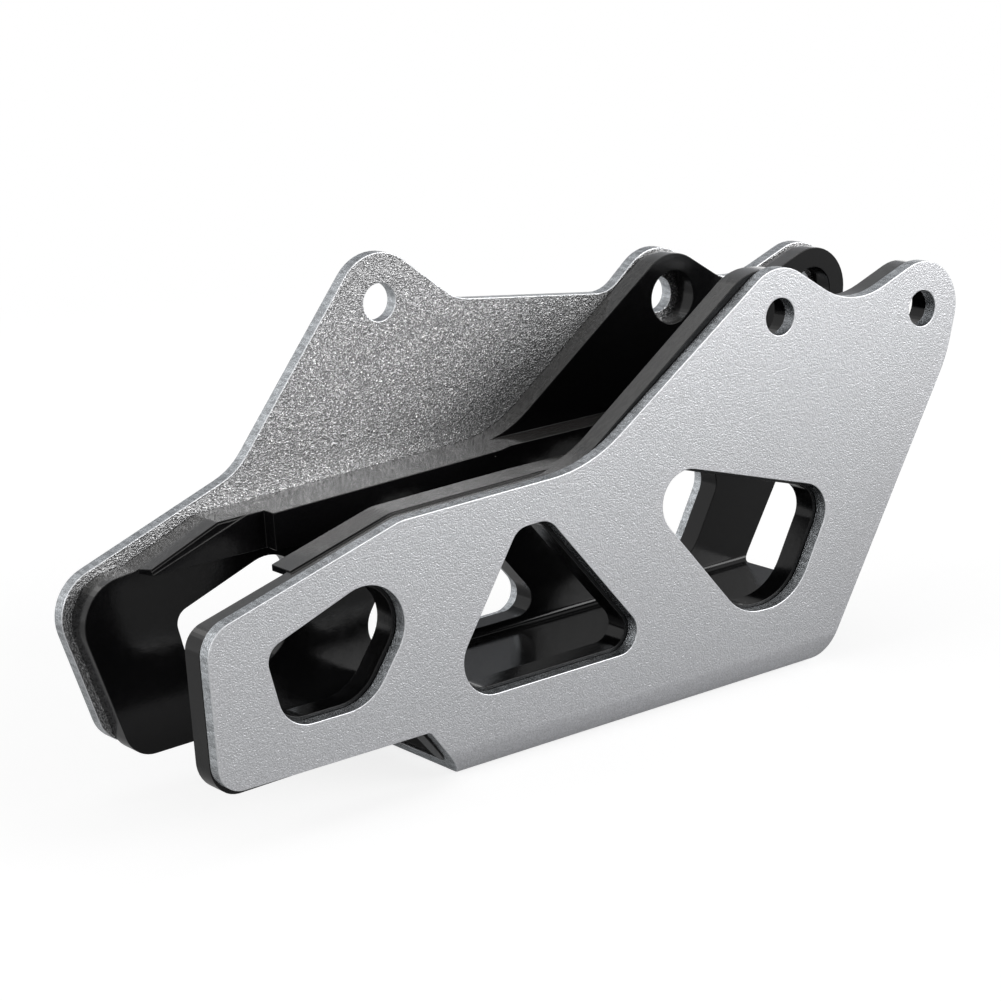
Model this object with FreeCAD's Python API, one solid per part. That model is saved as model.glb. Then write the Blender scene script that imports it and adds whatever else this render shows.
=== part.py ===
"""Rear chain guide of an off-road motorcycle: a folded aluminium cage around a moulded insert.

The cage is one sheet, cut flat and folded twice into a U. Its low plate, at -Y, has two bolt ears.
Its tall plate, at +Y, has the same two and a third, the guard ear. The web joins them underneath,
and both plates reach forward of it as a nose. The insert is one moulding that lines the cage, and
the chain runs along X through its channel, over the floor and under the rub blocks.

Lengths are in millimetres. X runs from the nose to the rear ears, Y from the low plate to the tall
one, and Z up. The origin is under the middle of the guide, on the underside of the web.
"""
import FreeCAD, Part
import math
import os

from FreeCAD import Vector

# Sheet and fold
sheet = 3.2
cage_width = 45.4
bend_inside = 4.0

# Bolt ears: the hole that all ears share, and where each one stands
bolt_hole = 8.2
ear_radius = 10.7
front_ear_x = 52.4
front_ear_z = 81.9
rear_ear_x = 94.9
rear_ear_z = 76.4
guard_ear_x = -23.3
guard_ear_z = 93.0

# Fold: where the web starts and ends, and the rounding of its ends
web_start_x = -36.4
web_start_r = 3.0
web_end_x = 59.1
web_end_r = 3.5

# Notch: the underside of the noses, and where it turns down to the fold
nose_underside = 12.6
notch_x = -47.4
notch_r = 1.3

# Rear edge and the saddle between the two rear ears. A lead is the straight between two arcs.
rear_sweep_r = 31.0
rear_sweep_lead = 0.7
rear_sweep_bearing = 2.7
saddle_r = 19.4
saddle_lead = 1.2

# Low plate: nose, slope, shelf and the rise to the front ear
low_nose_x = -96.6
low_foot_r = 5.5
low_brow_z = 39.9
low_brow_r = 7.2
low_shelf_z = 58.4
low_shelf_x = -48.6
low_shelf_r = 9.3
low_shelf_climb = 0.7
low_rise_x = -12.5
low_rise_r = 35.2

# Tall plate: nose, sweep up to the guard ear, and the ledge behind it
tall_nose_x = -105.6
tall_foot_x = -92.1
tall_foot_r = 7.8
tall_brow_z = 40.8
tall_brow_r = 10.2
guard_sweep_x = -70.9
guard_sweep_z = 61.3
guard_sweep_r = 15.2
guard_heel_r = 11.5
guard_heel_lead = 3.8
guard_heel_bearing = 18.6
ledge_r = 8.0
ledge_lead = 0.9
ledge_bearing = 34.2

# Windows, the same in both plates: centre x, centre z and radius of each corner, in turn
nose_window = [(-74.4, 29.4, 7.3), (-66.0, 33.6, 11.5), (-60.1, 37.8, 9.2), (-79.0, 36.3, 4.2)]
middle_window = [(-29.5, 24.4, 7.7), (3.3, 21.6, 4.8), (-15.6, 45.5, 5.0), (-18.9, 45.8, 4.6)]
rear_window = [(43.4, 28.9, 11.6), (45.5, 30.7, 13.5), (56.6, 36.5, 6.8), (24.2, 46.2, 7.2)]

# Insert: how its walls and floor are made, and how it steps in from the cage
wall = 5.6
side_play = 0.1
floor_thickness = 12.1
floor_fillet = 1.6
edge_step = 0.7
window_step = 0.8
front_ear_bore = 12.2
rear_ear_bore = 10.8
lining_underside = 10.6
web_step = 0.4

# Insert, low side
low_lining_foot_r = 7.0
low_lining_brow_z = 40.0
low_lining_brow_r = 5.6
low_lining_drop = 0.7
low_lining_shelf_x = -46.3
low_lining_shelf_r = 9.1
low_lining_rise_r = 28.6
low_crown_ahead = 2.9
low_crown_below = 2.5
low_crown_swell = 2.8

# Insert, tall side
tall_lining_nose_x = -103.5
tall_lining_foot_behind = 13.2
tall_lining_foot_r = 6.8
tall_lining_brow_drop = 1.0
tall_lining_brow_r = 9.8
tall_lining_dip_behind = 12.3
tall_lining_dip_lift = 0.35
tall_lining_dip_r = 2.0
tall_lining_shelf_lift = 7.05
tall_lining_shelf_behind = 30.9
tall_lining_shelf_r = 2.0
tall_lining_rise_x = -6.4
tall_lining_rise_lift = 1.7
tall_lining_rise_r = 27.6

# Rub blocks along the top of the channel. A seat is how far a block's top reaches over the wall.
block_end_x = 26.0
low_block_start_x = -72.1
low_block_underside = 50.1
low_block_top = 58.9
low_block_raise = 0.5
low_block_seat = 1.5
low_block_depth = 5.5
tall_block_start_behind = 14.5
tall_block_start_slant = 1.2
tall_block_underside = 49.2
tall_block_top = 59.2
tall_block_seat = 0.4
tall_block_start_depth = 4.1
tall_block_depth = 7.7
tall_block_step_behind = 26.9
# The inner side of the tall block's ramp steps back twice below its top: at a line that climbs from
# the block's front end, and again at a thin lip along the top
ramp_relief = 0.25
ramp_lip = 0.5
ramp_line_rise = 10.1
ramp_line_length = 30.2

# Long enough to cut right through the guide, and how near counts as the same height
reach = 400.0
near = 0.001

# Worked out from the sizes above
half_width = cage_width / 2
lining_half = half_width - sheet - side_play
channel_half = lining_half - wall
floor_top = sheet + floor_thickness
bend_outside = bend_inside + sheet

front_ear = (front_ear_x, front_ear_z, ear_radius)
rear_ear = (rear_ear_x, rear_ear_z, ear_radius)
guard_ear = (guard_ear_x, guard_ear_z, ear_radius)
notch = (notch_x, nose_underside - notch_r, -notch_r)
web_start = (web_start_x, web_start_r, web_start_r)
web_end = (web_end_x, web_end_r, web_end_r)


def beside(ear, side, gap, bearing, radius):
    """A corner whose centre is gap away from an ear's, ahead of it (side -1) or behind it (side 1).

    The bearing is in degrees above the level line.
    """
    angle = math.radians(bearing)
    return (ear[0] + side * gap * math.cos(angle), ear[1] + gap * math.sin(angle), radius)


def above_both(first, second, gap, radius):
    """A corner whose centre is gap away from the centres of two ears, above the line between them."""
    across_x = second[0] - first[0]
    across_z = second[1] - first[1]
    apart = math.hypot(across_x, across_z)
    rise = math.sqrt(gap ** 2 - (apart / 2) ** 2) / apart
    x = (first[0] + second[0]) / 2 - across_z * rise
    z = (first[1] + second[1]) / 2 + across_x * rise
    return (x, z, radius)


def stepped(corner, step):
    """The same corner with its edge moved inwards by step."""
    x, z, radius = corner
    return (x, z, radius - step)


def on_top(x, top, radius):
    """An outward corner whose highest point is at height top."""
    return (x, top - radius, radius)


def in_dip(x, bottom, radius):
    """An inward corner whose lowest point is at height bottom."""
    return (x, bottom + radius, -radius)


def outline(corners, y):
    """A closed outline at depth y, round corners joined by straight lines that touch both.

    Each corner is an arc, given by its centre and radius. The outline runs anticlockwise as seen
    from -Y. A positive radius turns outwards, and a negative one is an inward sweep.
    """
    count = len(corners)
    headings = []
    for i in range(count):
        x0, z0, r0 = corners[i]
        x1, z1, r1 = corners[(i + 1) % count]
        gap = math.hypot(x1 - x0, z1 - z0)
        headings.append(math.atan2(z1 - z0, x1 - x0) - math.asin((r1 - r0) / gap))

    def on_arc(i, heading):
        x, z, radius = corners[i]
        return Vector(x + radius * math.sin(heading), y, z - radius * math.cos(heading))

    edges = []
    for i in range(count):
        arriving = headings[i - 1]
        turn = (headings[i] - arriving + math.pi) % (2 * math.pi) - math.pi
        start = on_arc(i, arriving)
        middle = on_arc(i, arriving + turn / 2)
        end = on_arc(i, arriving + turn)
        edges.append(Part.Arc(start, middle, end).toShape())
        following = on_arc((i + 1) % count, headings[i])
        edges.append(Part.LineSegment(end, following).toShape())
    return Part.Wire(edges)


def prism(corners, y0, y1):
    """The outline as a solid from depth y0 to y1."""
    return Part.Face(outline(corners, y0)).extrude(Vector(0, y1 - y0, 0))


def bore(x, z, diameter, y0, y1):
    """A round bar along Y, to cut a hole with."""
    return Part.makeCylinder(diameter / 2, y1 - y0, Vector(x, y0, z), Vector(0, 1, 0))


def box(x0, x1, y0, y1, z0, z1):
    return Part.makeBox(x1 - x0, y1 - y0, z1 - z0, Vector(x0, y0, z0))


def trough(half, bottom, corner_r):
    """A long, high bar along X, with straight sides and a bottom whose two edges are round."""
    body = box(-reach, reach, -half, half, bottom, reach)
    lower = [edge for edge in body.Edges
             if abs(edge.CenterOfMass.z - bottom) < near and abs(edge.CenterOfMass.y) > half / 2]
    return body.makeFillet(corner_r, lower)


rear_sweep_gap = rear_sweep_r - ear_radius + rear_sweep_lead
rear_sweep = beside(rear_ear, -1, rear_sweep_gap, rear_sweep_bearing, rear_sweep_r)
saddle = above_both(front_ear, rear_ear, saddle_r + ear_radius + saddle_lead, -saddle_r)
ledge = beside(front_ear, -1, ledge_r + ear_radius + ledge_lead, ledge_bearing, -ledge_r)
guard_heel_gap = guard_heel_r + ear_radius + guard_heel_lead
guard_heel = beside(guard_ear, 1, guard_heel_gap, guard_heel_bearing, -guard_heel_r)


def low_plate_corners():
    return [
        (low_nose_x + low_foot_r, nose_underside + low_foot_r, low_foot_r),
        notch,
        web_start,
        web_end,
        rear_sweep,
        rear_ear,
        saddle,
        front_ear,
        in_dip(low_rise_x, low_shelf_z + low_shelf_climb, low_rise_r),
        on_top(low_shelf_x, low_shelf_z, low_shelf_r),
        (low_nose_x + low_brow_r, low_brow_z, low_brow_r),
    ]


def tall_plate_corners():
    return [
        (tall_foot_x, nose_underside + tall_foot_r, tall_foot_r),
        notch,
        web_start,
        web_end,
        rear_sweep,
        rear_ear,
        saddle,
        front_ear,
        ledge,
        guard_heel,
        guard_ear,
        in_dip(guard_sweep_x, guard_sweep_z, guard_sweep_r),
        (tall_nose_x + tall_brow_r, tall_brow_z, tall_brow_r),
    ]


def shared_lining_corners():
    """The insert's corners that follow the cage on both sides, from the notch to the front ear."""
    return [
        (notch_x, lining_underside - notch_r, -notch_r),
        stepped(web_start, web_step),
        stepped(web_end, edge_step),
        stepped(rear_sweep, edge_step),
        stepped(rear_ear, edge_step),
        stepped(saddle, edge_step),
        stepped(front_ear, edge_step),
    ]


def low_lining_corners():
    foot = (low_nose_x + low_lining_foot_r, lining_underside + low_lining_foot_r, low_lining_foot_r)
    shelf_z = low_shelf_z - low_lining_drop
    crown_r = ear_radius - edge_step + low_crown_swell
    crown = (front_ear_x - low_crown_ahead, front_ear_z - low_crown_below, crown_r)
    brow = (low_nose_x + low_lining_brow_r, low_lining_brow_z, low_lining_brow_r)
    return [foot] + shared_lining_corners() + [
        crown,
        in_dip(low_rise_x, shelf_z + low_shelf_climb, low_lining_rise_r),
        on_top(low_lining_shelf_x, shelf_z, low_lining_shelf_r),
        brow,
    ]


def tall_lining_corners():
    foot_x = tall_lining_nose_x + tall_lining_foot_behind
    foot = (foot_x, lining_underside + tall_lining_foot_r, tall_lining_foot_r)
    shelf_x = tall_lining_nose_x + tall_lining_shelf_behind
    dip_x = tall_lining_nose_x + tall_lining_dip_behind
    brow_z = tall_brow_z - tall_lining_brow_drop
    brow = (tall_lining_nose_x + tall_lining_brow_r, brow_z, tall_lining_brow_r)
    dip_z = brow_z + tall_lining_brow_r + tall_lining_dip_lift
    shelf_z = dip_z + tall_lining_shelf_lift
    return [foot] + shared_lining_corners() + [
        in_dip(tall_lining_rise_x, shelf_z + tall_lining_rise_lift, tall_lining_rise_r),
        on_top(shelf_x, shelf_z, tall_lining_shelf_r),
        in_dip(dip_x, dip_z, tall_lining_dip_r),
        brow,
    ]


def windows(step):
    """Bars that cut the three windows through both sides, each smaller all round by step."""
    bars = []
    for corners in (nose_window, middle_window, rear_window):
        bars.append(prism([stepped(corner, step) for corner in corners], -cage_width, cage_width))
    return bars


def make_cage():
    sides = prism(low_plate_corners(), -half_width, 0).fuse(prism(tall_plate_corners(), 0, half_width))
    sheet_metal = trough(half_width, 0, bend_outside).cut(trough(half_width - sheet, sheet, bend_inside))
    cage = sides.common(sheet_metal)
    holes = [
        bore(front_ear_x, front_ear_z, bolt_hole, -half_width, half_width),
        bore(rear_ear_x, rear_ear_z, bolt_hole, -half_width, half_width),
        bore(guard_ear_x, guard_ear_z, bolt_hole, 0, half_width),
    ]
    return cage.cut(windows(0) + holes).removeSplitter()


def rub_block(plan, underside, top, lining):
    """A block with the given plan and height, cut off along the lining's outline."""
    corners = [Vector(x, y, underside) for x, y in plan]
    face = Part.Face(Part.makePolygon(corners + corners[:1]))
    bar = face.extrude(Vector(0, 0, top - underside))
    return bar.common(prism(lining, -lining_half, lining_half))


def low_block():
    outer = -channel_half - low_block_seat
    inner = -channel_half + low_block_depth
    plan = [
        (low_block_start_x, outer),
        (block_end_x + low_block_depth, outer),
        (block_end_x, inner),
        (low_block_start_x, inner),
    ]
    raised = [stepped(corner, -low_block_raise) for corner in low_lining_corners()]
    return rub_block(plan, low_block_underside, low_block_top, raised)


def tall_block():
    outer = channel_half + tall_block_seat
    start = channel_half - tall_block_start_depth
    inner = channel_half - tall_block_depth
    start_x = tall_lining_nose_x + tall_block_start_behind
    step_x = start_x + tall_block_step_behind
    plan = [
        (start_x - tall_block_start_slant, outer),
        (start_x, start),
        (step_x, start),
        (step_x, inner),
        (block_end_x, inner),
        (block_end_x + tall_block_depth, outer),
    ]
    block = rub_block(plan, tall_block_underside, tall_block_top, tall_lining_corners())
    line_start_x = start_x - tall_block_start_slant
    corners = [
        Vector(line_start_x, start, tall_block_top - ramp_line_rise),
        Vector(line_start_x + ramp_line_length, start, tall_block_top),
        Vector(line_start_x, start, tall_block_top),
    ]
    above_line = Part.Face(Part.makePolygon(corners + corners[:1]))
    first = above_line.extrude(Vector(0, ramp_relief, 0))
    second = above_line.extrude(Vector(0, 2 * ramp_relief, 0))
    under_lip = [stepped(corner, ramp_lip) for corner in tall_lining_corners()]
    second = second.cut(prism(under_lip, 0, lining_half))
    return block.cut([first, second])


def make_insert():
    sides = prism(low_lining_corners(), -lining_half, 0).fuse(prism(tall_lining_corners(), 0, lining_half))
    channel = trough(channel_half, floor_top, floor_fillet)
    body = sides.common(trough(lining_half, sheet, bend_inside + side_play)).cut(channel)
    floor_start_x = web_start_x - web_start_r
    ahead_of_floor = box(-reach, floor_start_x, -channel_half, channel_half, -reach, reach)
    body = body.cut(ahead_of_floor)
    body = body.fuse([low_block(), tall_block()])
    holes = [
        bore(front_ear_x, front_ear_z, front_ear_bore, -half_width, half_width),
        bore(rear_ear_x, rear_ear_z, rear_ear_bore, -half_width, half_width),
    ]
    return body.cut(windows(window_step) + holes).removeSplitter()


os.makedirs("parts", exist_ok=True)
nodes = {
    "cage": make_cage(),
    "insert": make_insert(),
}
for name, shape in nodes.items():
    solids = shape.Solids
    print(name, "solids", len(solids), "valid", shape.isValid(), "volume", round(shape.Volume))
    whole = solids[0] if len(solids) == 1 else Part.makeCompound(solids)
    whole.exportStep("parts/" + name + ".step")
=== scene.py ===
import math

import bmesh
import bpy
from bpy.props import (
    FloatProperty,
    FloatVectorProperty,
    IntProperty,
    PointerProperty,
)
from mathutils import Matrix, Vector


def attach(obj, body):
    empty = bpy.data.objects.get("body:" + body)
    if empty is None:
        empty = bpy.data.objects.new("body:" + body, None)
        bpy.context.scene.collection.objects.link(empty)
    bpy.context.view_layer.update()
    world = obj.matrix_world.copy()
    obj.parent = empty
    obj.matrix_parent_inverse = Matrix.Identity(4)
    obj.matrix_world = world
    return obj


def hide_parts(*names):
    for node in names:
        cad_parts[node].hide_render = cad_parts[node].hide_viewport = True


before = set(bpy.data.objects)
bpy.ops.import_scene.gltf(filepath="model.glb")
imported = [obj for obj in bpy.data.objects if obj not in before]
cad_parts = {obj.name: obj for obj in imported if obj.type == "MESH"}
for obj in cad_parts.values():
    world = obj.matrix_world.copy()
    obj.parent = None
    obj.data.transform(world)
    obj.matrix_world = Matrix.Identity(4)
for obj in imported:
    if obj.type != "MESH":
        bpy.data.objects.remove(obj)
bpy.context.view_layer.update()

bl_info = {
    "name": "Chain guide",
    "version": (1, 0, 0),
    "blender": (4, 5, 0),
    "location": "3D View > Sidebar > Chain guide",
    "description": "Dresses a folded chain guide and its moulded insert, and sets up a plain studio",
    "category": "Object",
}

BODY = "root"
FINISH_TREE = "Surface finish"

# Attributes that the dressed meshes carry and the materials read
CUT_EDGE = "cut_edge"
INNER_FACE = "inner_face"
RIM = "rim"
TOP = "top"

# A mesh is merged below this distance, and its flat faces are joined below this angle
MERGE_DISTANCE = 1e-6
FLAT_ANGLE = math.radians(0.4)
# An edge that turns by more than this is rounded
SHARP_ANGLE = math.radians(28)
# Rounding takes at most this share of the narrowest face beside an edge
ROOM_SHARE = 0.42
# Wider than any face
WIDE = 1.0
# How fast the room may grow along the edges, and how often this is passed on
EVEN_SLOPE = 0.04
EVEN_PASSES = 8
# Material indices that tell the faces from the rims while a piece is being rounded
FACE_INDEX = 0
RIM_INDEX = 1
INDEX_TOLERANCE = 0.5

# A face looks along an axis when its normal's share of that axis is larger than this
FACE_SLOPE = 0.5
# The insert's tops lie above this height, and fade in between these two upward slopes
TOP_HEIGHT = 0.03
TOP_SLOPES = (0.6, 0.95)

# The insert's noses: their tip, their end at the fold, their underside and its corner
NOSE_TIP = -0.093
NOSE_END = -0.040
NOSE_UNDERSIDE = 0.0106
NOSE_CORNER = 0.0055
# How far the photo shows the undersides lifted, on the low side and the tall side
LOW_LIFT = 0.0012
TALL_LIFT = 0.0010
# Share of the nose's length over which the low side's lift grows
LOW_LIFT_LENGTH = 0.25

# Fine grain: scale and weight of the coarse pits beside the fine ones
COARSE_SCALE = 0.31
COARSE_WEIGHT = 0.12
# The heights over which the shade goes from 0 to 1
PIT_HEIGHTS = (0.38, 0.74)
# The random values over which a grain is picked for a painted glint
PAINTED_GLINT_VALUES = (0.86, 1.0)
# Fine streaks: the heights over which the shade goes from 0 to 1
STREAK_HEIGHTS = (0.35, 0.68)

# Aluminium: how dark a pit is beside the plain colour, on outer faces, inner faces and cut edges
FACE_PIT = 0.74
INNER_PIT = 0.32
CUT_PIT = 0.40
# Soft clouds on the outer faces, and painted glints (painted highlights) on the inner ones
CLOUDS = {"Scale": 45.0, "Detail": 3.0, "Roughness": 0.55}
CLOUD_HEIGHTS = (0.3, 0.7)
CLOUD_SHARE = 0.10
CLOUD_COLOUR = (0.5, 0.51, 0.53)
PAINTED_GLINT_SHARE = 0.35
PAINTED_GLINT_COLOUR = (0.95, 0.95, 0.94)
# Cut edges: the lines, their depth, and how much lines and pits count in the colour
CUT_LINES = {"Size": 0.0009, "Stretch": 5.0}
CUT_LINE_DEPTH = 0.00006
CUT_LINE_SHARE = 0.6
CUT_PIT_SHARE = 0.5
# Roughness in a pit and beside it, and how much smoother inner faces and cut edges are
METAL_ROUGHNESS = (0.34, 0.28)
SMOOTHER = 0.06
# How much deeper the pits are on inner faces and cut edges, and how much shallower on rims
DEEPER = 1.6
RIM_SHALLOWER = 0.6
METAL_DUST = {"Spacing": 0.009, "Speck": 0.03, "Share": 0.20}
METAL_DUST_COLOUR = (0.30, 0.29, 0.28)

# Moulding: fine grain, how pale it is beside the plain colour, and how much it counts
MOULD_GRAIN_SIZE = 0.0006
MOULD_GRAIN_DEPTH = 0.000006
PALE_GRAIN = 2.2
PALE_GRAIN_SHARE = 0.35
# Soft waves of the skin
PEEL = {"Detail": 2.0, "Roughness": 0.5}
PEEL_DEPTH = 0.00001
# Rubbing: its lines, how much of the tops' colour shows, and the roughness that it leaves. The tops'
# paler colour is partly rub wear and partly painted sheen on faces that look up
RUB_LINES = {"Size": 0.0022, "Stretch": 0.4}
RUB_AND_SHEEN_SHARES = (0.75, 1.0)
MOULD_ROUGHNESS = (0.12, 0.18)
MOULD_DUST = {"Spacing": 0.006, "Speck": 0.035, "Share": 0.12}
MOULD_DUST_COLOUR = (0.25, 0.25, 0.24)
COAT_ROUGHNESS = 0.15
SKIN_IOR = 1.32

# Floor: its grain, how dark a pit is beside the plain colour, and its dull skin
FLOOR_GRAIN_SIZE = 0.0012
FLOOR_PIT = 0.985
FLOOR_SPECULAR = 0.1
FLOOR_SEGMENTS = 96
DULL = 0.9
# Distances from the object over which the floor turns to plain white, as seen and as mirrored
SEEN_DISTANCES = (0.10, 0.55)
MIRRORED_DISTANCES = (0.15, 1.2)
# Share of white in the seen floor near the object and far from it, and how much stronger that white is
WHITE_SHARES = (0.6, 1.0)
STRONGER_WHITE = (0.32, 0.0)
WHITE = (1.0, 1.0, 1.0, 1.0)

# Soft lamps: name, place, width, height, power in watts
LAMPS = (
    ("right_softbox", (0.82, -1.02, 0.40), 0.9, 0.5, 10.0),
    ("left_softbox", (-1.00, 0.10, 0.50), 0.5, 0.5, 2.5),
)

# The grey card stands behind the object
CARD_PLACE = (0.36, 0.86, 0.48)
CARD_WIDTH = 1.0
CARD_HEIGHT = 0.7
CARD_COLOUR = (0.42, 0.43, 0.45)

# The camera's film width in millimetres, and the nearest point that it sees
FILM_WIDTH = 36.0
NEAREST = 0.01


# Values a user may change

class CagePiece(bpy.types.PropertyGroup):
    edge_round: FloatProperty(
        name="Edge rounding", description="Radius left on the sheet's edges by tumbling",
        default=0.00018, min=0.00005, max=0.001, precision=5, unit="LENGTH")
    round_steps: IntProperty(
        name="Rounding steps", description="Faces across a rounded edge", default=3, min=1, max=6)
    fold_height: FloatProperty(
        name="Fold height", description="Height of the zone of the web and its two bends",
        default=0.0073, min=0.001, max=0.02, precision=4, unit="LENGTH")
    face_colour: FloatVectorProperty(
        name="Face colour", description="Colour of the blasted faces",
        default=(0.61, 0.615, 0.635), min=0, max=1, subtype="COLOR")
    cut_colour: FloatVectorProperty(
        name="Cut colour", description="Colour of the cut edges",
        default=(0.66, 0.69, 0.72), min=0, max=1, subtype="COLOR")
    rim_colour: FloatVectorProperty(
        name="Rim colour", description="Colour of the rounded rims",
        default=(0.64, 0.65, 0.67), min=0, max=1, subtype="COLOR")
    # Painted shade: the faces that look at the channel get this darker colour, standing in for the shade
    # and dark reflections the channel throws on them
    inner_shade_colour: FloatVectorProperty(
        name="Inner colour", description="Colour of the faces that look at the channel",
        default=(0.43, 0.43, 0.435), min=0, max=1, subtype="COLOR")
    grain_size: FloatProperty(
        name="Grain size", description="Distance between the pits of the blasting",
        default=0.00034, min=0.0001, max=0.002, precision=5, unit="LENGTH")
    grain_depth: FloatProperty(
        name="Grain depth", description="Depth of the pits of the blasting",
        default=0.00009, min=0.0, max=0.001, precision=5, unit="LENGTH")


class InsertPiece(bpy.types.PropertyGroup):
    edge_round: FloatProperty(
        name="Edge rounding", description="Radius of the moulding's edges",
        default=0.00018, min=0.00005, max=0.002, precision=5, unit="LENGTH")
    round_steps: IntProperty(
        name="Rounding steps", description="Faces across a rounded edge", default=3, min=1, max=6)
    colour: FloatVectorProperty(
        name="Colour", description="Colour of the moulding",
        default=(0.0035, 0.0035, 0.0038), min=0, max=1, subtype="COLOR")
    # Partly rub wear, partly painted sheen: every face that looks up gets this paler colour
    top_wear_and_sheen_colour: FloatVectorProperty(
        name="Top colour", description="Colour of the tops that the chain has rubbed",
        default=(0.075, 0.073, 0.070), min=0, max=1, subtype="COLOR")
    peel_size: FloatProperty(
        name="Peel size", description="Distance between the soft waves of the moulded skin",
        default=0.0016, min=0.0002, max=0.01, precision=5, unit="LENGTH")


class StudioStage(bpy.types.PropertyGroup):
    aim: FloatVectorProperty(
        name="Aim", description="Point that the camera looks at",
        default=(-0.009192, 0.0, 0.04966), subtype="XYZ", unit="LENGTH", precision=5)
    distance: FloatProperty(
        name="Distance", description="Distance from the camera to that point",
        default=0.611766, min=0.1, unit="LENGTH", precision=5)
    azimuth: FloatProperty(
        name="Azimuth", description="Turn of the camera about the upright, from straight ahead",
        default=math.radians(-35.43), subtype="ANGLE")
    elevation: FloatProperty(
        name="Elevation", description="Height of the camera above the level, as an angle",
        default=math.radians(15.20), subtype="ANGLE")
    roll: FloatProperty(
        name="Roll", description="Turn of the camera about its own line of sight",
        default=math.radians(-3.93), subtype="ANGLE")
    lens: FloatProperty(
        name="Lens", description="Focal length of the camera in millimetres",
        default=102.75, min=10, unit="CAMERA")
    floor_colour: FloatVectorProperty(
        name="Floor colour", description="Colour of the pale floor",
        default=(0.82, 0.82, 0.82), min=0, max=1, subtype="COLOR")
    floor_radius: FloatProperty(
        name="Floor radius", description="Radius of the round floor",
        default=6.0, min=1, unit="LENGTH")
    ambient: FloatProperty(
        name="Ambient", description="Strength of the soft light from all round",
        default=0.45, min=0, max=1)


# Small helpers

def opaque(colour):
    return (*colour, 1.0)


def scaled(colour, factor):
    """The colour made darker or paler, opaque."""
    return opaque([factor * part for part in colour])


def add_object(name, data):
    thing = bpy.data.objects.new(name, data)
    bpy.context.scene.collection.objects.link(thing)
    return thing


def turn_towards(aim, place, front):
    """The turn that points an object's front axis at the aim from its place."""
    return (Vector(aim) - Vector(place)).to_track_quat(front, "Y").to_euler()


# Node helpers

def fill_sockets(tree, node, inputs):
    """Links each given socket, or sets it to the given value."""
    for key, value in inputs.items():
        if isinstance(value, bpy.types.NodeSocket):
            tree.links.new(value, node.inputs[key])
        else:
            node.inputs[key].default_value = value
    return node


def add_node(tree, kind, inputs=None, **settings):
    node = tree.nodes.new(kind)
    for name, value in settings.items():
        setattr(node, name, value)
    return fill_sockets(tree, node, inputs or {})


def maths(tree, operation, *values):
    return add_node(tree, "ShaderNodeMath", dict(enumerate(values)), operation=operation).outputs[0]


def ramp(tree, value, span, to_span=(0.0, 1.0), kind="SMOOTHSTEP"):
    """The value moved from one span to another, held at its ends."""
    inputs = {
        "Value": value,
        "From Min": span[0],
        "From Max": span[1],
        "To Min": to_span[0],
        "To Max": to_span[1],
    }
    return add_node(tree, "ShaderNodeMapRange", inputs, interpolation_type=kind).outputs["Result"]


def blend(tree, share, first, second):
    """The first colour turning into the second as share goes from 0 to 1."""
    first_colour, second_colour, result = 6, 7, 2
    inputs = {"Factor": share, first_colour: first, second_colour: second}
    return add_node(tree, "ShaderNodeMix", inputs, data_type="RGBA").outputs[result]


def pitted(tree, shade, colour, darkness):
    """The colour, darker where the shade is 0."""
    return blend(tree, shade, scaled(colour, darkness), opaque(colour))


def attribute(tree, name):
    return add_node(tree, "ShaderNodeAttribute", attribute_name=name).outputs["Fac"]


def object_place(tree):
    return tree.nodes.new("ShaderNodeTexCoord").outputs["Object"]


def mirrored_rays(tree, path):
    """1 for rays that come from a mirror or glass, otherwise 0."""
    return maths(tree, "MAXIMUM", path.outputs["Is Glossy Ray"], path.outputs["Is Transmission Ray"])


def new_group(name, inputs, outputs):
    """An empty shader group with the given sockets. Returns the tree and its two end nodes."""
    tree = bpy.data.node_groups.new(name, "ShaderNodeTree")
    for label, kind, default in inputs:
        socket = tree.interface.new_socket(label, in_out="INPUT", socket_type=kind)
        if default is not None:
            socket.default_value = default
    for label in outputs:
        tree.interface.new_socket(label, in_out="OUTPUT", socket_type="NodeSocketFloat")
    return tree, tree.nodes.new("NodeGroupInput"), tree.nodes.new("NodeGroupOutput")


def use_group(tree, group, inputs):
    node = tree.nodes.new("ShaderNodeGroup")
    node.node_tree = group
    return fill_sockets(tree, node, inputs)


# Shared surface effects

def fine_grain_group():
    """Fine pits: a height, a shade from 0 to 1 and a mask of rare grains, which the aluminium turns into
    painted glints.

    Both finishes and the floor use it.
    """
    name = "Fine grain"
    if name in bpy.data.node_groups:
        return bpy.data.node_groups[name]
    inputs = [("Vector", "NodeSocketVector", None), ("Size", "NodeSocketFloat", 0.0005)]
    tree, start, end = new_group(name, inputs, ["Height", "Shade", "Painted glint"])
    scale = maths(tree, "DIVIDE", 1.0, start.outputs["Size"])
    vector = start.outputs["Vector"]
    pits = add_node(tree, "ShaderNodeTexNoise", {
        "Vector": vector, "Scale": scale, "Detail": 2.0, "Roughness": 0.6})
    coarse_scale = maths(tree, "MULTIPLY", scale, COARSE_SCALE)
    coarse = add_node(tree, "ShaderNodeTexNoise", {
        "Vector": vector, "Scale": coarse_scale, "Detail": 1.0, "Roughness": 0.5})
    cells = add_node(tree, "ShaderNodeTexVoronoi", {"Vector": vector, "Scale": scale})
    chosen = add_node(tree, "ShaderNodeSeparateColor", {"Color": cells.outputs["Color"]})
    height = maths(tree, "MULTIPLY_ADD", coarse.outputs["Fac"], COARSE_WEIGHT, pits.outputs["Fac"])
    fill_sockets(tree, end, {
        "Height": height,
        "Shade": ramp(tree, height, PIT_HEIGHTS),
        "Painted glint": ramp(tree, chosen.outputs["Red"], PAINTED_GLINT_VALUES)})
    return tree


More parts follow.
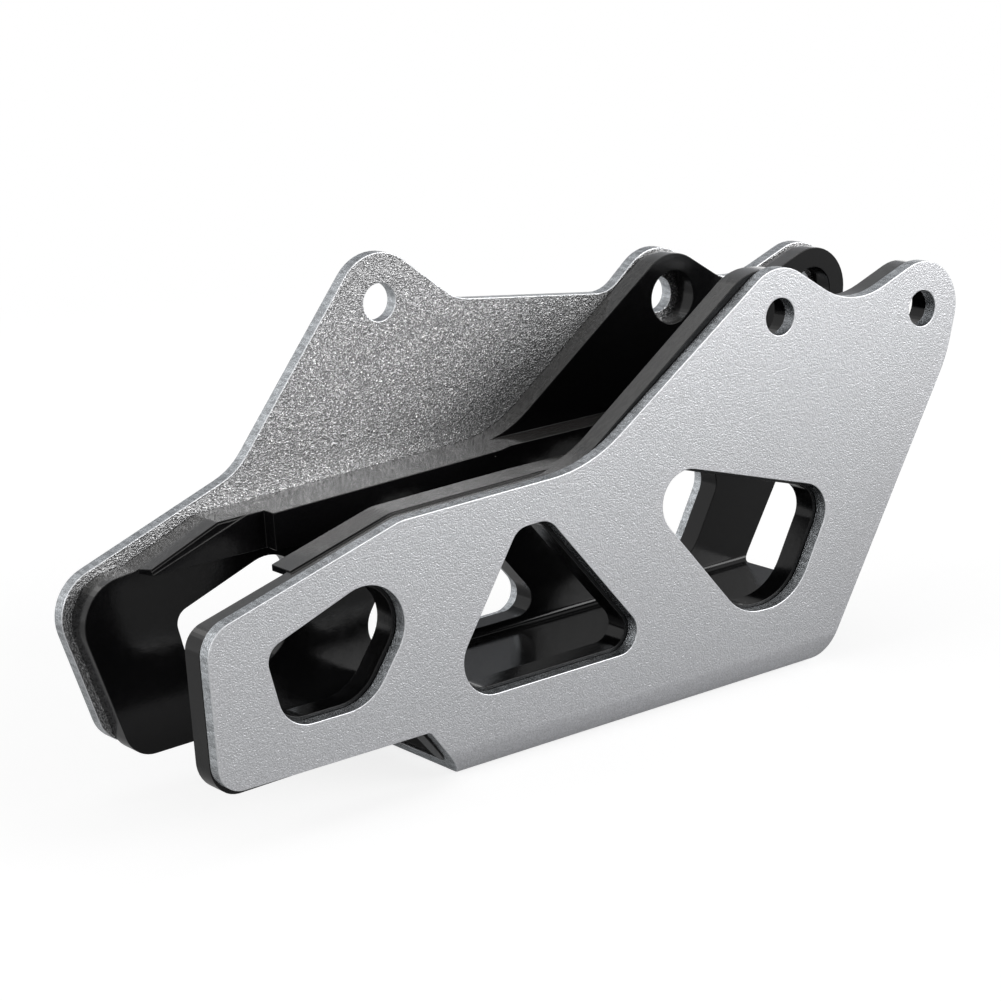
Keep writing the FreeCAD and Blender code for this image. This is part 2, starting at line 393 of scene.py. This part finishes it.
def dust_group():
    """Sparse specks of dust, as a mask. Both finishes use it."""
    name = "Dust specks"
    if name in bpy.data.node_groups:
        return bpy.data.node_groups[name]
    inputs = [
        ("Vector", "NodeSocketVector", None),
        ("Spacing", "NodeSocketFloat", 0.004),
        ("Speck", "NodeSocketFloat", 0.05),
        ("Share", "NodeSocketFloat", 0.3),
    ]
    tree, start, end = new_group(name, inputs, ["Mask"])
    scale = maths(tree, "DIVIDE", 1.0, start.outputs["Spacing"])
    cells = add_node(tree, "ShaderNodeTexVoronoi", {"Vector": start.outputs["Vector"], "Scale": scale})
    chosen = add_node(tree, "ShaderNodeSeparateColor", {"Color": cells.outputs["Color"]})
    present = maths(tree, "LESS_THAN", chosen.outputs["Green"], start.outputs["Share"])
    size = maths(tree, "MULTIPLY", chosen.outputs["Blue"], start.outputs["Speck"])
    near = maths(tree, "LESS_THAN", cells.outputs["Distance"], size)
    fill_sockets(tree, end, {"Mask": maths(tree, "MULTIPLY", present, near)})
    return tree


def streaks_group():
    """Fine lines. A stretch above 1 draws them along Y, as cutting does, and one below 1 across it.

    Both finishes use it.
    """
    name = "Fine streaks"
    if name in bpy.data.node_groups:
        return bpy.data.node_groups[name]
    inputs = [
        ("Vector", "NodeSocketVector", None),
        ("Size", "NodeSocketFloat", 0.0004),
        ("Stretch", "NodeSocketFloat", 12.0),
    ]
    tree, start, end = new_group(name, inputs, ["Height", "Shade"])
    scale = maths(tree, "DIVIDE", 1.0, start.outputs["Size"])
    along = maths(tree, "DIVIDE", 1.0, start.outputs["Stretch"])
    factors = add_node(tree, "ShaderNodeCombineXYZ", {"X": 1.0, "Y": along, "Z": 1.0})
    squeezed = add_node(tree, "ShaderNodeVectorMath", {
        0: start.outputs["Vector"], 1: factors.outputs["Vector"]}, operation="MULTIPLY")
    lines = add_node(tree, "ShaderNodeTexNoise", {
        "Vector": squeezed.outputs["Vector"], "Scale": scale, "Detail": 3.0, "Roughness": 0.65})
    fill_sockets(tree, end, {
        "Height": lines.outputs["Fac"],
        "Shade": ramp(tree, lines.outputs["Fac"], STREAK_HEIGHTS)})
    return tree


# Materials

def new_material(name):
    material = bpy.data.materials.new(name)
    material.use_nodes = True
    tree = material.node_tree
    tree.nodes.clear()
    shader = tree.nodes.new("ShaderNodeBsdfPrincipled")
    output = tree.nodes.new("ShaderNodeOutputMaterial")
    tree.links.new(shader.outputs["BSDF"], output.inputs["Surface"])
    return material, tree, shader


def bump(tree, height, distance, below=None):
    inputs = {"Height": height, "Distance": distance, "Strength": 1.0}
    if below is not None:
        inputs["Normal"] = below
    return add_node(tree, "ShaderNodeBump", inputs).outputs["Normal"]


def add_dust(tree, place, colour, dust, dust_colour):
    specks = use_group(tree, dust_group(), {"Vector": place, **dust})
    return blend(tree, specks.outputs["Mask"], colour, opaque(dust_colour))


def aluminium_material(look):
    """Blasted faces, cut edges with lines across the sheet, and smooth bright rims. The inner faces carry
    painted shade, a darker colour, and painted glints.
    """
    material, tree, shader = new_material("aluminium_finish")
    place = object_place(tree)
    cut = attribute(tree, CUT_EDGE)
    rim = attribute(tree, RIM)
    inner = attribute(tree, INNER_FACE)
    grain = use_group(tree, fine_grain_group(), {"Vector": place, "Size": look.grain_size})
    lines = use_group(tree, streaks_group(), {"Vector": place, **CUT_LINES})
    shade = grain.outputs["Shade"]

    clouds = add_node(tree, "ShaderNodeTexNoise", {"Vector": place, **CLOUDS})
    cloud_share = ramp(tree, clouds.outputs["Fac"], CLOUD_HEIGHTS, (0.0, CLOUD_SHARE))
    outer_face = pitted(tree, shade, look.face_colour, FACE_PIT)
    outer_face = blend(tree, cloud_share, outer_face, opaque(CLOUD_COLOUR))
    painted_glint_share = maths(tree, "MULTIPLY", grain.outputs["Painted glint"], PAINTED_GLINT_SHARE)
    # Painted shade: the inner faces get a darker colour for the channel's shade and dark reflections
    inner_face = pitted(tree, shade, look.inner_shade_colour, INNER_PIT)
    # Painted highlight: rare grains on the inner faces are painted near white as glints
    inner_face = blend(tree, painted_glint_share, inner_face, opaque(PAINTED_GLINT_COLOUR))
    pit_marks = maths(tree, "MULTIPLY", shade, CUT_PIT_SHARE)
    marks = maths(tree, "MULTIPLY_ADD", lines.outputs["Shade"], CUT_LINE_SHARE, pit_marks)
    cut_face = pitted(tree, marks, look.cut_colour, CUT_PIT)

    colour = blend(tree, inner, outer_face, inner_face)
    colour = blend(tree, cut, colour, cut_face)
    colour = blend(tree, rim, colour, opaque(look.rim_colour))
    colour = add_dust(tree, place, colour, METAL_DUST, METAL_DUST_COLOUR)

    inner_or_cut = maths(tree, "MAXIMUM", inner, cut)
    face_rough = ramp(tree, shade, (0.0, 1.0), METAL_ROUGHNESS, kind="LINEAR")
    rough = maths(tree, "SUBTRACT", face_rough, maths(tree, "MULTIPLY", inner_or_cut, SMOOTHER))
    shallow = maths(tree, "SUBTRACT", 1.0, maths(tree, "MULTIPLY", rim, RIM_SHALLOWER))
    deep = maths(tree, "MULTIPLY_ADD", inner_or_cut, DEEPER, 1.0)
    pit_height = maths(tree, "MULTIPLY", grain.outputs["Height"], maths(tree, "MULTIPLY", shallow, deep))
    line_height = maths(tree, "MULTIPLY", lines.outputs["Height"], maths(tree, "MULTIPLY", cut, shallow))
    normal = bump(tree, pit_height, look.grain_depth)
    normal = bump(tree, line_height, CUT_LINE_DEPTH, below=normal)
    fill_sockets(tree, shader, {
        "Base Color": colour, "Metallic": 1.0, "Roughness": rough, "Normal": normal})
    return material


def moulding_material(look):
    """Black moulded plastic with a softly waved, half-gloss skin, paler tops and a little dust. The tops'
    paler colour is partly rub wear and partly painted sheen on the faces that look up.
    """
    material, tree, shader = new_material("moulding_finish")
    place = object_place(tree)
    top = attribute(tree, TOP)
    peel = add_node(tree, "ShaderNodeTexNoise", {"Vector": place, "Scale": 1.0 / look.peel_size, **PEEL})
    grain = use_group(tree, fine_grain_group(), {"Vector": place, "Size": MOULD_GRAIN_SIZE})
    rub = use_group(tree, streaks_group(), {"Vector": place, **RUB_LINES})

    pale_share = maths(tree, "MULTIPLY", grain.outputs["Shade"], PALE_GRAIN_SHARE)
    colour = blend(tree, pale_share, opaque(look.colour), scaled(look.colour, PALE_GRAIN))
    # Painted sheen and rub wear: faces that look up turn paler, more so along the rub lines
    rubbed = ramp(tree, rub.outputs["Shade"], (0.0, 1.0), RUB_AND_SHEEN_SHARES)
    colour = blend(tree, maths(tree, "MULTIPLY", top, rubbed), colour, opaque(look.top_wear_and_sheen_colour))
    colour = add_dust(tree, place, colour, MOULD_DUST, MOULD_DUST_COLOUR)

    rough = ramp(tree, rub.outputs["Shade"], (0.0, 1.0), MOULD_ROUGHNESS, kind="LINEAR")
    normal = bump(tree, peel.outputs["Fac"], PEEL_DEPTH)
    normal = bump(tree, grain.outputs["Height"], MOULD_GRAIN_DEPTH, below=normal)
    fill_sockets(tree, shader, {
        "Base Color": colour,
        "Roughness": rough,
        "Normal": normal,
        "Coat Weight": top,
        "Coat Roughness": COAT_ROUGHNESS,
        "IOR": SKIN_IOR})
    return material


# Dressing a solid

def room_beside(edge):
    """The narrowest way across the two faces beside an edge, from the edge's middle."""
    middle = (edge.verts[0].co + edge.verts[1].co) / 2
    line = (edge.verts[1].co - edge.verts[0].co).normalized()
    narrowest = WIDE
    for face in edge.link_faces:
        inward = face.normal.cross(line)
        loop = next(loop for loop in face.loops if loop.edge == edge)
        if loop.vert.co == edge.verts[1].co:
            inward.negate()
        for other in face.edges:
            if other == edge:
                continue
            first, second = (vert.co - middle for vert in other.verts)
            along_first, along_second = first.dot(line), second.dot(line)
            if along_first * along_second > 0 or along_first == along_second:
                continue
            share = along_first / (along_first - along_second)
            reach = first.lerp(second, share).dot(inward)
            if reach > MERGE_DISTANCE:
                narrowest = min(narrowest, reach)
    return narrowest


def even_out(rooms):
    """Lets the room change only slowly from one edge to the next, so that rounded rims don't fold."""
    for _ in range(EVEN_PASSES):
        for edge, room in rooms.items():
            for vert in edge.verts:
                for other in vert.link_edges:
                    if other in rooms and other != edge:
                        length = edge.calc_length() + other.calc_length()
                        room = min(room, rooms[other] + EVEN_SLOPE * length / 2)
            rooms[edge] = room


def trim_nose(solid):
    """Lifts the underside of the insert's two noses, which the photo shows a little higher."""
    for vert in solid.verts:
        x, y, z = vert.co
        if x > NOSE_END:
            continue
        share = 1.0 - abs(z - NOSE_UNDERSIDE) / NOSE_CORNER
        along = min(1.0, max(0.0, (x - NOSE_TIP) / (NOSE_END - NOSE_TIP)))
        lift = LOW_LIFT * min(1.0, along / LOW_LIFT_LENGTH) if y < 0 else TALL_LIFT * along
        vert.co.z += lift * max(0.0, share)


def mark_edges(solid, edge_round):
    """Gives each sharp edge its weight for rounding: 1 where the faces beside it have room enough."""
    weights = solid.edges.layers.float.new("bevel_weight_edge")
    rooms = {}
    for edge in solid.edges:
        sharp = edge.is_manifold and abs(edge.calc_face_angle_signed()) > SHARP_ANGLE
        edge.smooth = not sharp
        if sharp:
            rooms[edge] = min(edge_round, ROOM_SHARE * room_beside(edge))
    even_out(rooms)
    for edge, room in rooms.items():
        edge[weights] = room / edge_round


def merged_copy(node, name, edge_round, reshape=None):
    """A copy of a CAD node as one closed mesh with joined flat faces and marked edges to round."""
    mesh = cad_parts[node].data.copy()
    mesh.name = name
    mesh.materials.clear()
    solid = bmesh.new()
    solid.from_mesh(mesh)
    bmesh.ops.remove_doubles(solid, verts=solid.verts, dist=MERGE_DISTANCE)
    bmesh.ops.dissolve_limit(
        solid, angle_limit=FLAT_ANGLE, verts=solid.verts, edges=solid.edges,
        use_dissolve_boundaries=False)
    if reshape:
        reshape(solid)
    solid.normal_update()
    mark_edges(solid, edge_round)
    for face in solid.faces:
        face.smooth = True
        face.material_index = FACE_INDEX
    solid.to_mesh(mesh)
    solid.free()
    return add_object(name, mesh)


def finish_tree():
    """Marks cut edges, inner faces, rims and tops, and gives the piece its material."""
    tree = bpy.data.node_groups.new(FINISH_TREE, "GeometryNodeTree")
    sockets = (
        ("Geometry", "INPUT", "NodeSocketGeometry"),
        ("Fold height", "INPUT", "NodeSocketFloat"),
        ("Face slope", "INPUT", "NodeSocketFloat"),
        ("Top height", "INPUT", "NodeSocketFloat"),
        ("Material", "INPUT", "NodeSocketMaterial"),
        ("Geometry", "OUTPUT", "NodeSocketGeometry"),
    )
    for label, side, kind in sockets:
        tree.interface.new_socket(label, in_out=side, socket_type=kind)
    start = tree.nodes.new("NodeGroupInput")
    end = tree.nodes.new("NodeGroupOutput")
    place = add_node(tree, "ShaderNodeSeparateXYZ", {
        "Vector": tree.nodes.new("GeometryNodeInputPosition").outputs["Position"]})
    facing = add_node(tree, "ShaderNodeSeparateXYZ", {
        "Vector": tree.nodes.new("GeometryNodeInputNormal").outputs["Normal"]})
    slope = start.outputs["Face slope"]

    off_plate = maths(tree, "LESS_THAN", maths(tree, "ABSOLUTE", facing.outputs["Y"]), slope)
    on_plate = maths(tree, "SUBTRACT", 1.0, off_plate)
    end_face = maths(tree, "GREATER_THAN", maths(tree, "ABSOLUTE", facing.outputs["X"]), slope)
    above_fold = maths(tree, "GREATER_THAN", place.outputs["Z"], start.outputs["Fold height"])
    cut = maths(tree, "MULTIPLY", off_plate, maths(tree, "MAXIMUM", above_fold, end_face))

    outward = maths(tree, "MULTIPLY", facing.outputs["Y"], place.outputs["Y"])
    inner = maths(tree, "MULTIPLY", maths(tree, "LESS_THAN", outward, 0.0), on_plate)

    high = maths(tree, "GREATER_THAN", place.outputs["Z"], start.outputs["Top height"])
    top = maths(tree, "MULTIPLY", ramp(tree, facing.outputs["Z"], TOP_SLOPES), high)

    index = tree.nodes.new("GeometryNodeInputMaterialIndex").outputs["Material Index"]
    rim = maths(tree, "COMPARE", index, float(RIM_INDEX), INDEX_TOLERANCE)

    geometry = start.outputs["Geometry"]
    for name, value in ((CUT_EDGE, cut), (INNER_FACE, inner), (RIM, rim), (TOP, top)):
        stored = add_node(tree, "GeometryNodeStoreNamedAttribute", {
            "Geometry": geometry, "Name": name, "Value": value}, data_type="FLOAT", domain="FACE")
        geometry = stored.outputs["Geometry"]
    real = add_node(tree, "GeometryNodeRealizeInstances", {"Geometry": geometry})
    painted = add_node(tree, "GeometryNodeSetMaterial", {
        "Geometry": real.outputs["Geometry"], "Material": start.outputs["Material"]})
    fill_sockets(tree, end, {"Geometry": painted.outputs["Geometry"]})
    return tree


def set_input(modifier, label, value):
    """Sets a tree's named input through its socket's identifier."""
    for item in modifier.node_group.interface.items_tree:
        if item.name == label and item.in_out == "INPUT":
            modifier[item.identifier] = value
            return
    raise RuntimeError(f"the tree has no input named {label}")


def add_rounding(piece, look):
    rounding = piece.modifiers.new("Rounding", "BEVEL")
    rounding.limit_method = "WEIGHT"
    rounding.offset_type = "OFFSET"
    rounding.width = look.edge_round
    rounding.segments = look.round_steps
    rounding.use_clamp_overlap = False
    rounding.material = RIM_INDEX
    rounding.harden_normals = True
    rounding.miter_outer = "MITER_ARC"


def add_finish(piece, material, fold_height):
    finish = piece.modifiers.new(FINISH_TREE, "NODES")
    finish.node_group = bpy.data.node_groups.get(FINISH_TREE) or finish_tree()
    set_input(finish, "Fold height", fold_height)
    set_input(finish, "Face slope", FACE_SLOPE)
    set_input(finish, "Top height", TOP_HEIGHT)
    set_input(finish, "Material", material)


def dress(node, name, look, material, fold_height=0.0, reshape=None):
    """Rounds a copy of a CAD node, sorts its faces, and lets it stand for the node."""
    piece = merged_copy(node, name, look.edge_round, reshape)
    add_rounding(piece, look)
    for _ in (FACE_INDEX, RIM_INDEX):
        piece.data.materials.append(material)
    add_finish(piece, material, fold_height)
    evaluated = piece.evaluated_get(bpy.context.evaluated_depsgraph_get())
    mesh = bpy.data.meshes.new_from_object(evaluated)
    mesh.name = name
    piece.modifiers.clear()
    piece.data = mesh
    mesh.materials.clear()
    mesh.materials.append(material)
    for polygon in mesh.polygons:
        polygon.material_index = FACE_INDEX
    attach(piece, BODY)
    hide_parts(node)


class CHAINGUIDE_OT_dress_cage(bpy.types.Operator):
    """Rounds the folded cage's edges and gives it its blasted finish"""
    bl_idname = "chain_guide.dress_cage"
    bl_label = "Dress the cage"

    def execute(self, context):
        look = context.scene.chain_guide_cage
        dress("cage", "cage_sheet", look, aluminium_material(look), fold_height=look.fold_height)
        return {"FINISHED"}


class CHAINGUIDE_OT_dress_insert(bpy.types.Operator):
    """Rounds the insert's edges and gives it its black moulded finish"""
    bl_idname = "chain_guide.dress_insert"
    bl_label = "Dress the insert"

    def execute(self, context):
        look = context.scene.chain_guide_insert
        dress("insert", "channel_insert", look, moulding_material(look), reshape=trim_nose)
        return {"FINISHED"}


# Stage

def set_world(strength):
    """A white background, which lights the object softly and at less than its own strength."""
    world = bpy.data.worlds.new("Studio")
    world.use_nodes = True
    tree = world.node_tree
    tree.nodes.clear()
    soft = add_node(tree, "ShaderNodeBackground", {"Color": WHITE, "Strength": strength})
    white = add_node(tree, "ShaderNodeBackground", {"Color": WHITE, "Strength": 1.0})
    path = tree.nodes.new("ShaderNodeLightPath")
    shown = maths(tree, "MAXIMUM", path.outputs["Is Camera Ray"], mirrored_rays(tree, path))
    mix = add_node(tree, "ShaderNodeMixShader", {0: shown, 1: soft.outputs[0], 2: white.outputs[0]})
    add_node(tree, "ShaderNodeOutputWorld", {"Surface": mix.outputs[0]})
    bpy.context.scene.world = world


def floor_material(colour):
    """A pale floor with a soft shadow, which turns into plain white away from the object.

    White is added to what the camera sees of it, so that it is nearly white where no shadow falls.
    """
    material, tree, shader = new_material("pale_floor")
    place = object_place(tree)
    reach = add_node(tree, "ShaderNodeVectorMath", {0: place}, operation="LENGTH").outputs["Value"]
    path = tree.nodes.new("ShaderNodeLightPath")
    seen = path.outputs["Is Camera Ray"]
    white_share = ramp(tree, reach, SEEN_DISTANCES, WHITE_SHARES)
    seen_share = maths(tree, "MULTIPLY", white_share, seen)
    mirrored_share = maths(
        tree, "MULTIPLY", ramp(tree, reach, MIRRORED_DISTANCES), mirrored_rays(tree, path))
    stronger = ramp(tree, reach, SEEN_DISTANCES, STRONGER_WHITE)
    strength = maths(tree, "MULTIPLY_ADD", stronger, seen, 1.0)
    grain = use_group(tree, fine_grain_group(), {"Vector": place, "Size": FLOOR_GRAIN_SIZE})
    fill_sockets(tree, shader, {
        "Base Color": pitted(tree, grain.outputs["Shade"], colour, FLOOR_PIT),
        "Roughness": DULL,
        "Specular IOR Level": FLOOR_SPECULAR})
    white = add_node(tree, "ShaderNodeEmission", {"Color": WHITE, "Strength": strength})
    share = maths(tree, "MAXIMUM", seen_share, mirrored_share)
    mix = add_node(tree, "ShaderNodeMixShader", {0: share, 1: shader.outputs[0], 2: white.outputs[0]})
    output = next(node for node in tree.nodes if node.type == "OUTPUT_MATERIAL")
    tree.links.new(mix.outputs[0], output.inputs["Surface"])
    return material


def make_floor(stage):
    mesh = bpy.data.meshes.new("floor")
    disc = bmesh.new()
    bmesh.ops.create_circle(disc, cap_ends=True, segments=FLOOR_SEGMENTS, radius=stage.floor_radius)
    disc.to_mesh(mesh)
    disc.free()
    mesh.materials.append(floor_material(stage.floor_colour))
    floor = add_object("floor", mesh)


def make_lamps(aim):
    for name, place, width, height, power in LAMPS:
        light = bpy.data.lights.new(name, "AREA")
        light.shape = "RECTANGLE"
        light.size = width
        light.size_y = height
        light.energy = power
        lamp = add_object(name, light)
        lamp.location = place
        lamp.rotation_euler = turn_towards(aim, place, "-Z")
        lamp.visible_camera = False


def make_card(aim):
    """A grey card behind the object, seen only in its glossy faces, as in a studio."""
    mesh = bpy.data.meshes.new("grey_card")
    signs = ((-1, -1), (1, -1), (1, 1), (-1, 1))
    corners = [(side * CARD_WIDTH / 2, rise * CARD_HEIGHT / 2, 0) for side, rise in signs]
    mesh.from_pydata(corners, [], [(0, 1, 2, 3)])
    material, tree, shader = new_material("grey_card")
    fill_sockets(tree, shader, {"Base Color": opaque(CARD_COLOUR), "Roughness": DULL})
    mesh.materials.append(material)
    card = add_object("grey_card", mesh)
    card.location = CARD_PLACE
    card.rotation_euler = turn_towards(aim, CARD_PLACE, "Z")
    card.visible_camera = False
    card.visible_diffuse = False
    card.visible_shadow = False


def make_camera(stage):
    turn, rise, roll = stage.azimuth, stage.elevation, stage.roll
    back = Vector((math.sin(turn) * math.cos(rise), -math.cos(turn) * math.cos(rise), math.sin(rise)))
    level = Vector((math.cos(turn), math.sin(turn), 0.0))
    upright = back.cross(level)
    right = math.cos(roll) * level + math.sin(roll) * upright
    up = math.cos(roll) * upright - math.sin(roll) * level
    lens = bpy.data.cameras.new("camera")
    lens.lens = stage.lens
    lens.sensor_width = FILM_WIDTH
    lens.clip_start = NEAREST
    camera = add_object("camera", lens)
    place = Vector(stage.aim) + stage.distance * back
    camera.matrix_world = Matrix.Translation(place) @ Matrix((right, up, back)).transposed().to_4x4()
    bpy.context.scene.camera = camera


class CHAINGUIDE_OT_set_stage(bpy.types.Operator):
    """Makes the pale floor, the soft lamps, the grey card, the background and the camera"""
    bl_idname = "chain_guide.set_stage"
    bl_label = "Set the stage"

    def execute(self, context):
        stage = context.scene.chain_guide_stage
        make_floor(stage)
        make_lamps(stage.aim)
        make_card(stage.aim)
        set_world(stage.ambient)
        make_camera(stage)
        context.scene.view_settings.view_transform = "Standard"
        return {"FINISHED"}


class CHAINGUIDE_PT_panel(bpy.types.Panel):
    bl_label = "Chain guide"
    bl_idname = "CHAINGUIDE_PT_panel"
    bl_space_type = "VIEW_3D"
    bl_region_type = "UI"
    bl_category = "Chain guide"

    def draw(self, context):
        steps = (
            ("chain_guide_cage", CHAINGUIDE_OT_dress_cage),
            ("chain_guide_insert", CHAINGUIDE_OT_dress_insert),
            ("chain_guide_stage", CHAINGUIDE_OT_set_stage),
        )
        for values, operator in steps:
            box = self.layout.box()
            group = getattr(context.scene, values)
            for name in group.bl_rna.properties.keys():
                if name not in ("rna_type", "name"):
                    box.prop(group, name)
            box.operator(operator.bl_idname)


CLASSES = (
    CagePiece,
    InsertPiece,
    StudioStage,
    CHAINGUIDE_OT_dress_cage,
    CHAINGUIDE_OT_dress_insert,
    CHAINGUIDE_OT_set_stage,
    CHAINGUIDE_PT_panel,
)


def register():
    for cls in CLASSES:
        bpy.utils.register_class(cls)
    bpy.types.Scene.chain_guide_cage = PointerProperty(type=CagePiece)
    bpy.types.Scene.chain_guide_insert = PointerProperty(type=InsertPiece)
    bpy.types.Scene.chain_guide_stage = PointerProperty(type=StudioStage)


def unregister():
    del bpy.types.Scene.chain_guide_stage
    del bpy.types.Scene.chain_guide_insert
    del bpy.types.Scene.chain_guide_cage
    for cls in reversed(CLASSES):
        bpy.utils.unregister_class(cls)


def main():
    register()
    bpy.ops.chain_guide.dress_cage()
    bpy.ops.chain_guide.dress_insert()
    bpy.ops.chain_guide.set_stage()


if __name__ == "__main__":
    main()
